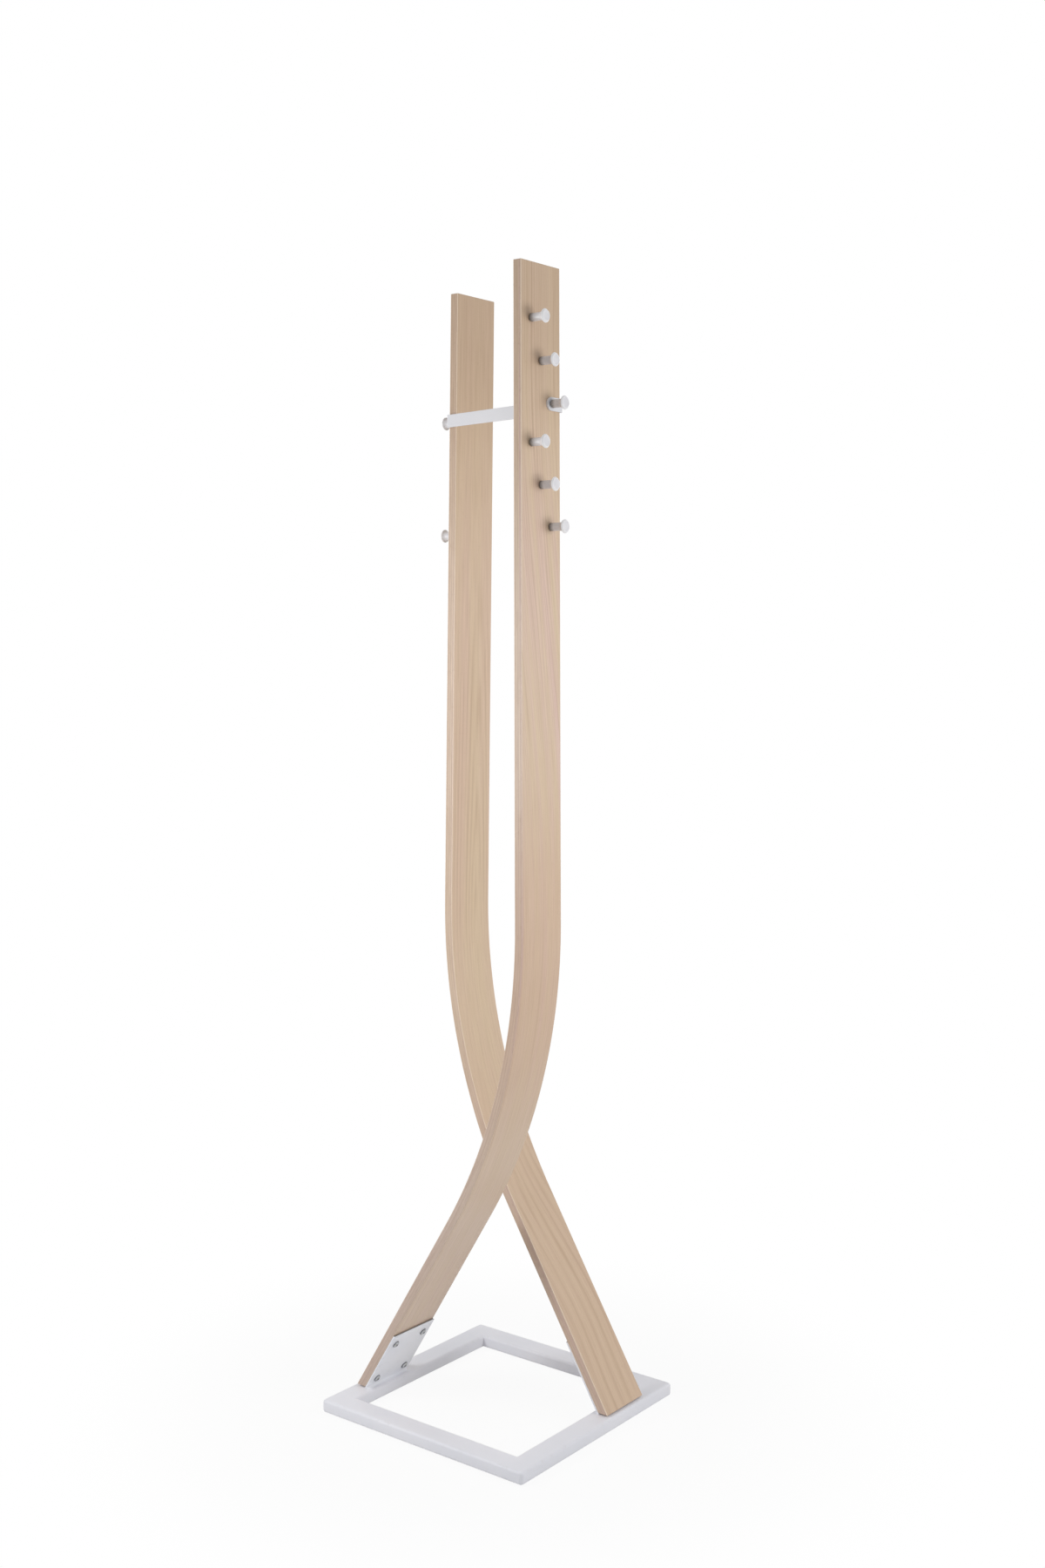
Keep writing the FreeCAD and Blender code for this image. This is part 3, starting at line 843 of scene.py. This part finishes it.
plate = {
    "reach": 0.122,
    "thickness": 0.003,
    "cornerRadius": 0.003,
    "cornerSteps": 5,
    "edge": 0.0005,
    "edgeWear": 0.4,  # beside the full wear of the outermost edge
    "undercut": 0.002,  # the sawn top end leans back to the leg
    # width of the painted shade line at the plate's top end
    "shadeLineWidth": 0.0008,
    # the bars' white coat painted lighter here, standing in for light on the plates
    "white": shade(244, 245, 250),
    "cool": shade(238, 240, 248),
}
bead = {
    "size": 0.006,
    "steps": 8,
    "hollow": 0.12,  # how far the curve bulges out of its corner
    "underBar": 0.001,
    "inPlate": (0.6, 0.0012),  # share of the size, and depth
    "inset": 0.001,
    "taper": 0.002,
    "endShare": 0.45,
}


def plateOutline(inset):  # (across, s) round the plate, the foot first
    half = leg["width"] / 2 - inset
    top = plate["reach"] - inset
    radius = plate["cornerRadius"] - inset
    outline = [(-half, 0.0), (half, 0.0)]
    for sign, start in ((1, 0), (-1, 90)):
        for k in range(plate["cornerSteps"] + 1):
            angle = math.radians(start + 90 * k / plate["cornerSteps"])
            outline.append((sign * (half - radius) + radius * math.cos(angle),
                            top - radius + radius * math.sin(angle)))
    return outline


def beadPoints(side, out):  # rings of the weld in the corner of bar and plate
    lean = leg["footLean"]
    root = Vector((legPoint(side, out * math.tan(lean), 0.0, out).x, leg["barTop"]))
    slope = Vector((side * math.sin(lean), math.cos(lean)))
    onBar = root + Vector((side * bead["size"], 0.0))
    onPlate = root + slope * bead["size"]
    pulled = root + (onBar + onPlate - 2 * root) * bead["hollow"]
    section = [root - Vector((side * bead["underBar"], 0.0)), onBar]
    for k in range(1, bead["steps"]):  # a hollow curve from the bar up to the plate
        t = k / bead["steps"]
        section.append(onBar * (1 - t) ** 2 + pulled * (2 * t * (1 - t)) + onPlate * t ** 2)
    share, depth = bead["inPlate"]
    section += [onPlate, root + slope * bead["size"] * share - Vector((side * depth, 0.0))]
    half = leg["width"] / 2 - bead["inset"]
    ends = ((-half, bead["endShare"]), (-half + bead["taper"], 1.0),
            (half - bead["taper"], 1.0), (half, bead["endShare"]))
    rings = []
    for across, pull in ends:
        y = legPoint(side, 0.0, across, 0.0).y
        spots = [root + (spot - root) * pull for spot in section]
        rings.append([Vector((spot.x, y, spot.y)) for spot in spots])
    return rings


def makePlate(name, side, finish, node):
    back = leg["thickness"] / 2
    face = back + plate["thickness"]
    soft = plate["edge"]
    levels = [(back, soft), (back + soft, 0.0), (face - soft, 0.0), (face, soft), (face, 2 * soft)]
    points, rounded, topShadeLine = [], [], []
    for out, inset in levels:
        for across, s in plateOutline(inset):
            # painted shade line along the top end
            topShadeLine.append(1.0 if s > plate["reach"] - inset - plate["shadeLineWidth"] and inset < 2 * soft else 0.0)
            if s > plate["reach"] / 2:
                s -= plate["undercut"] * (face - out) / plate["thickness"]
            s = max(s, out * math.tan(leg["footLean"]))
            points.append(legPoint(side, s, across, out))
            rounded.append(1.0 if inset == 0.0 else plate["edgeWear"])
    faces = tube(len(levels), len(points) // len(levels))
    first = len(points)
    rings = beadPoints(side, face)
    faces += [tuple(first + spot for spot in quad) for quad in tube(len(rings), len(rings[0]))]
    for ring in rings:
        points += ring
    plain = [0.0] * (len(points) - first)
    piece = meshPiece(name, points, faces, {"rounded": rounded + plain, "topShadeLine": topShadeLine + plain})
    dress(piece, finish, "white_powder_coat", node)


# a lighter copy of the white coat: painted light
plateCoatPaintedLight = whiteCoatFinish("plateCoatPaintedLight", plate["white"], plate["cool"])
makePlate("frontPlate", front, plateCoatPaintedLight, "front_foot_plate")
makePlate("rearPlate", rear, plateCoatPaintedLight, "rear_foot_plate")

screw = {
    "head": 0.006,
    "height": 0.0033,
    "rimHeight": 0.0009,
    "rimSoftening": 0.0002,
    "rimShadeSteps": 4,  # the painted shade at the rim fades out over these steps of the dome
    "domeAngle": 76,
    "domeSteps": 9,
    "flatLift": 0.00008,
    "shank": 0.003,
    "length": 0.012,
    "tip": 0.0005,
    "socket": 0.004,  # across the flats
    "socketDepth": 0.002,
    "socketFlat": 0.0012,
    "socketEdge": 0.0004,
    "socketBevel": 0.0003,
    "socketPoint": (0.0004, 0.0005),
    "margin": 0.023,
    "pitch": 0.076,
    "spread": 0.066,
    "segments": 48,
    "brushScale": 900.0,
}


def hexagon(acrossFlats):
    def reach(angle):
        return acrossFlats / 2 / math.cos((angle % math.radians(60)) - math.radians(30))
    return reach


def screwProfile():  # (radius, height, painted shade)
    head, height, rim, soft = screw["head"], screw["height"], screw["rimHeight"], screw["rimSoftening"]
    shank, length, tip = screw["shank"], screw["length"], screw["tip"]
    profile = [(tip, -length, 0.0), (shank - tip, -length, 0.0), (shank, -length + tip, 0.0), (shank, 0.0, 0.0)]
    profile += [(head - soft, 0.0, 1.0), (head, soft, 1.0)]
    for k in range(screw["domeSteps"] + 1):
        angle = math.radians(screw["domeAngle"] * k / screw["domeSteps"])
        # painted shade, full at the rim and fading up the dome
        dull = max(1 - k / screw["rimShadeSteps"], 0.0)
        profile.append((head * math.cos(angle), rim + (height - rim) * math.sin(angle), dull))
    flat = profile[-1][1] + screw["flatLift"]
    socket, floor = screw["socket"], height - screw["socketDepth"]
    pointRadius, pointDepth = screw["socketPoint"]
    # painted shade in the socket
    profile += [
        (hexagon(socket + screw["socketFlat"]), flat, 0.0),
        (hexagon(socket + screw["socketEdge"]), flat, 0.4),
        (hexagon(socket), flat - screw["socketBevel"], 1.0),
        (hexagon(socket), floor, 1.0),
        (pointRadius, floor - pointDepth, 1.0),
    ]
    return profile


def makeScrew(name, axes, finish, node):
    outline, rimShade = [], []
    for radius, height, dull in screwProfile():
        outline.append((radius, height))
        rimShade.append(dull)
    piece = lathe(name, axes, outline, {"rounded": rimShade}, screw["segments"])
    dress(piece, finish, "bright_steel", node)


screwZinc = zincFinish("screwZinc", screw["brushScale"])
screwPlaces = [(row, column) for row in (0, 1) for column in (1, -1)]
for sideName, side in legSides:
    for number, (row, column) in enumerate(screwPlaces, start=1):
        s = plate["reach"] - screw["margin"] - row * screw["pitch"]
        axes = legFrame(side, s, column * screw["spread"] / 2, leg["thickness"] / 2 + plate["thickness"])
        makeScrew(f"{sideName}Screw{number}", axes, screwZinc, f"{sideName}_plate_screw_{number}")
print("plates and screws fitted")


# flat strap between the legs

strap = {
    "height": 0.021,
    "thickness": 0.003,
    "bend": 0.003,
    "endFlat": 0.001,
    "edge": 0.0004,
    "edgeSteps": 3,
    "sideSteps": (2, 8),
    "bendSteps": 8,
    "endSteps": 12,
    "runSteps": 24,
    # the white coat painted darker here, standing in for shade on the strap
    "white": shade(225, 225, 229),
    "cool": shade(220, 221, 226),
}


def strapHalfPath():  # plan of the half at the front leg, from its round end to the middle of the run
    out = leg["thickness"] / 2
    middle = leg["height"] - pegDrop(peg["onStrap"]) * math.cos(leg["topLean"])
    low = middle - strap["height"] / 2
    topX = legPoint(front, topCut(out), 0.0, out).x
    faceX = topX + (leg["height"] - low) * math.tan(leg["topLean"])
    edgeY = leg["apart"] / 2
    endY = edgeY + leg["width"] / 2 - pegAcross(peg["onStrap"]) + strap["height"] / 2
    meanBend = strap["bend"] + strap["thickness"] / 2
    centre = Vector((faceX - strap["bend"], -edgeY))
    slant = math.atan2(edgeY, centre.x) - math.asin(meanBend / centre.length)
    radius = (strap["height"] - strap["endFlat"]) / 2
    tabX = faceX + strap["thickness"] / 2
    path = []  # (point, direction, half height)
    for k in range(strap["endSteps"] + 1):
        angle = math.pi / 2 * k / strap["endSteps"]
        halfHeight = strap["endFlat"] / 2 + radius * math.sin(angle)
        path.append((Vector((tabX, -endY + radius * (1 - math.cos(angle)))), Vector((0, 1)), halfHeight))
    for k in range(strap["bendSteps"] + 1):
        angle = (math.pi / 2 - slant) * k / strap["bendSteps"]
        spoke = Vector((math.cos(angle), math.sin(angle)))
        path.append((centre + spoke * meanBend, Vector((-spoke.y, spoke.x)), strap["height"] / 2))
    lastPoint, lastDirection, _ = path[-1]
    for k in range(1, strap["runSteps"] + 1):
        path.append((lastPoint * (1 - k / strap["runSteps"]), lastDirection, strap["height"] / 2))
    return path, middle


def makeStrap(name, finish, node):
    half, middle = strapHalfPath()
    path = half + [(-point, direction, tall) for point, direction, tall in reversed(half[:-1])]
    points, rounded = [], []
    for point, direction, tall in path:
        sideways = Vector((direction.y, -direction.x))
        soft = min(strap["edge"], tall / 2)
        section = roundedSection(strap["thickness"], 2 * tall, soft, strap["edgeSteps"], strap["sideSteps"])
        for x, z, turn in section:
            spot = point + sideways * x
            points.append(Vector((spot.x, spot.y, middle + z)))
            rounded.append(turn)
    faces = tube(len(path), len(points) // len(path))
    piece = meshPiece(name, points, faces, {"rounded": rounded})
    dress(piece, finish, "white_powder_coat", node)


strapCoatPaintedShade = whiteCoatFinish("strapCoatPaintedShade", strap["white"], strap["cool"])
makeStrap("tieStrap", strapCoatPaintedShade, "cross_strap")
print("strap bent")


# floor pads and hidden fixings

floorPad = {
    "radius": 0.009,
    "thickness": 0.0015,
    "softening": 0.0004,
    "core": 0.001,
    "segments": 32,
}


def makePad(name, signX, signY, finish, node):
    reach = (bar["side"] - bar["width"]) / 2
    radius, soft, core = floorPad["radius"], floorPad["softening"], floorPad["core"]
    profile = [(core, 0.0)] + corner(radius - soft, soft, -90, 0, soft)
    profile += [(radius, floorPad["thickness"]), (core, floorPad["thickness"])]
    axes = Matrix.Translation((signX * reach, signY * reach, 0))
    piece = lathe(name, axes, profile, {"rounded": [0.0] * len(profile)}, floorPad["segments"])
    dress(piece, finish, "pad_grey", node)


padGrey = padFinish("padGrey")
for endName, signY in (("front", -1), ("back", 1)):
    for handName, signX in (("left", -1), ("right", 1)):
        padNode = f"floor_pad_{endName}_{handName}"
        makePad(f"{endName}{handName.title()}Pad", signX, signY, padGrey, padNode)

stud = {"brushScale": 1500.0}
studZinc = zincFinish("studZinc", stud["brushScale"])
insertBrass = brassFinish("insertBrass")
hiddenFixings = (("peg_studs", studZinc), ("peg_inserts", insertBrass), ("plate_inserts", insertBrass))
for sideName, _ in legSides:
    for kind, finish in hiddenFixings:
        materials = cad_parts[f"{sideName}_{kind}"].data.materials
        materials.clear()
        materials.append(finish)
print("pads and hidden fixings done")


# floor, light and camera

stage = {
    "floorSize": 14.0,
    "floorTones": ((0.80, 0.80, 0.80, 1), (0.84, 0.84, 0.84, 1)),
    "grainScale": 40.0,
    "floorRoughness": 0.9,
    "nearWhite": 0.92,  # share of plain white that the camera sees in the floor beside the stand
    "fade": (0.28, 0.75),  # metres from the middle over which it turns all white
    "white": (1, 1, 1, 1),
    "ambient": 0.46,
}


def floorFinish(name):
    f = Finish(name)
    place = f.place()
    x, y, _ = place.parts()
    far = ((x * x + y * y) ** 0.5).between(*stage["fade"])
    tone = f.mix(f.noise(place, stage["grainScale"], 3.0), *stage["floorTones"])
    matt = f.add("ShaderNodeBsdfPrincipled", {}, {
        "Base Color": tone,
        "Roughness": stage["floorRoughness"],
        "Specular IOR Level": 0.0,
    })
    white = f.add("ShaderNodeEmission", {}, {"Color": stage["white"], "Strength": 1.0})
    share = stage["nearWhite"] + (1 - stage["nearWhite"]) * far
    shader = f.add("ShaderNodeMixShader", {}, {0: f.seen() * share, 1: matt, 2: white})
    f.add("ShaderNodeOutputMaterial", {}, {"Surface": shader})
    return f.owner


half = stage["floorSize"] / 2
floorMesh = bpy.data.meshes.new("paleFloor")
floorMesh.from_pydata([(-half, -half, 0), (half, -half, 0), (half, half, 0), (-half, half, 0)], [], [(0, 1, 2, 3)])
floorMesh.materials.append(floorFinish("paleFloor"))
paleFloor = bpy.data.objects.new("paleFloor", floorMesh)
bpy.context.scene.collection.objects.link(paleFloor)

studio = Finish("studio", bpy.data.worlds)
sky = studio.add("ShaderNodeBackground", {}, {
    "Color": stage["white"],
    "Strength": stage["ambient"] + (1 - stage["ambient"]) * studio.seen(),
})
studio.add("ShaderNodeOutputWorld", {}, {"Surface": sky})
bpy.context.scene.world = studio.owner

softboxes = {
    "keyBox": {"place": (1.72, 0.4, 1.2), "target": (0, 0, 1.2), "size": (1.3, 0.8), "power": 14.0},
    "fillBox": {"place": (-0.76, -1.24, 1.1), "target": (0, 0, 1.1), "size": (0.6, 0.6), "power": 12.0},
    "topBox": {"place": (0, 0, 3.2), "target": (0, 0, 0), "size": (1.5, 1.5), "power": 3.2},
}
for boxName, box in softboxes.items():
    lamp = bpy.data.lights.new(boxName, "AREA")
    lamp.shape = "RECTANGLE"
    lamp.size, lamp.size_y = box["size"]
    lamp.energy = box["power"]
    lampObject = bpy.data.objects.new(boxName, lamp)
    lampObject.location = box["place"]
    aim = Vector(box["target"]) - Vector(box["place"])
    lampObject.rotation_euler = aim.to_track_quat("-Z", "Y").to_euler()
    lampObject.visible_camera = False
    bpy.context.scene.collection.objects.link(lampObject)

camera = {
    "place": (1.763964, -2.243989, 1.233082),
    "heading": math.radians(128.0278),
    "roll": math.radians(0.2181),
    "picture": (1200, 1800),
    "focal": 2040.7229,  # in pixels of the picture
    "middle": (581.3, 730.4),  # where the lens axis meets the picture
    "sensor": 36,
}
wide, tall = camera["picture"]
lensData = bpy.data.cameras.new("viewer")
lensData.lens = camera["focal"] * camera["sensor"] / tall
lensData.sensor_width = camera["sensor"]
lensData.shift_x = (wide / 2 - camera["middle"][0]) / tall
lensData.shift_y = (camera["middle"][1] - tall / 2) / tall
ahead = Vector((math.cos(camera["heading"]), math.sin(camera["heading"]), 0))
level = ahead.cross(Vector((0, 0, 1)))
upright = level.cross(ahead)
right = level * math.cos(camera["roll"]) + upright * math.sin(camera["roll"])
up = upright * math.cos(camera["roll"]) - level * math.sin(camera["roll"])
viewAxes = Matrix((right, up, -ahead)).transposed().to_4x4()
viewAxes.translation = Vector(camera["place"])
viewer = bpy.data.objects.new("viewer", lensData)
viewer.matrix_world = viewAxes
bpy.context.scene.collection.objects.link(viewer)
bpy.context.scene.camera = viewer
bpy.context.scene.view_settings.view_transform = "Standard"
print("stage set")

bpy.context.view_layer.update()
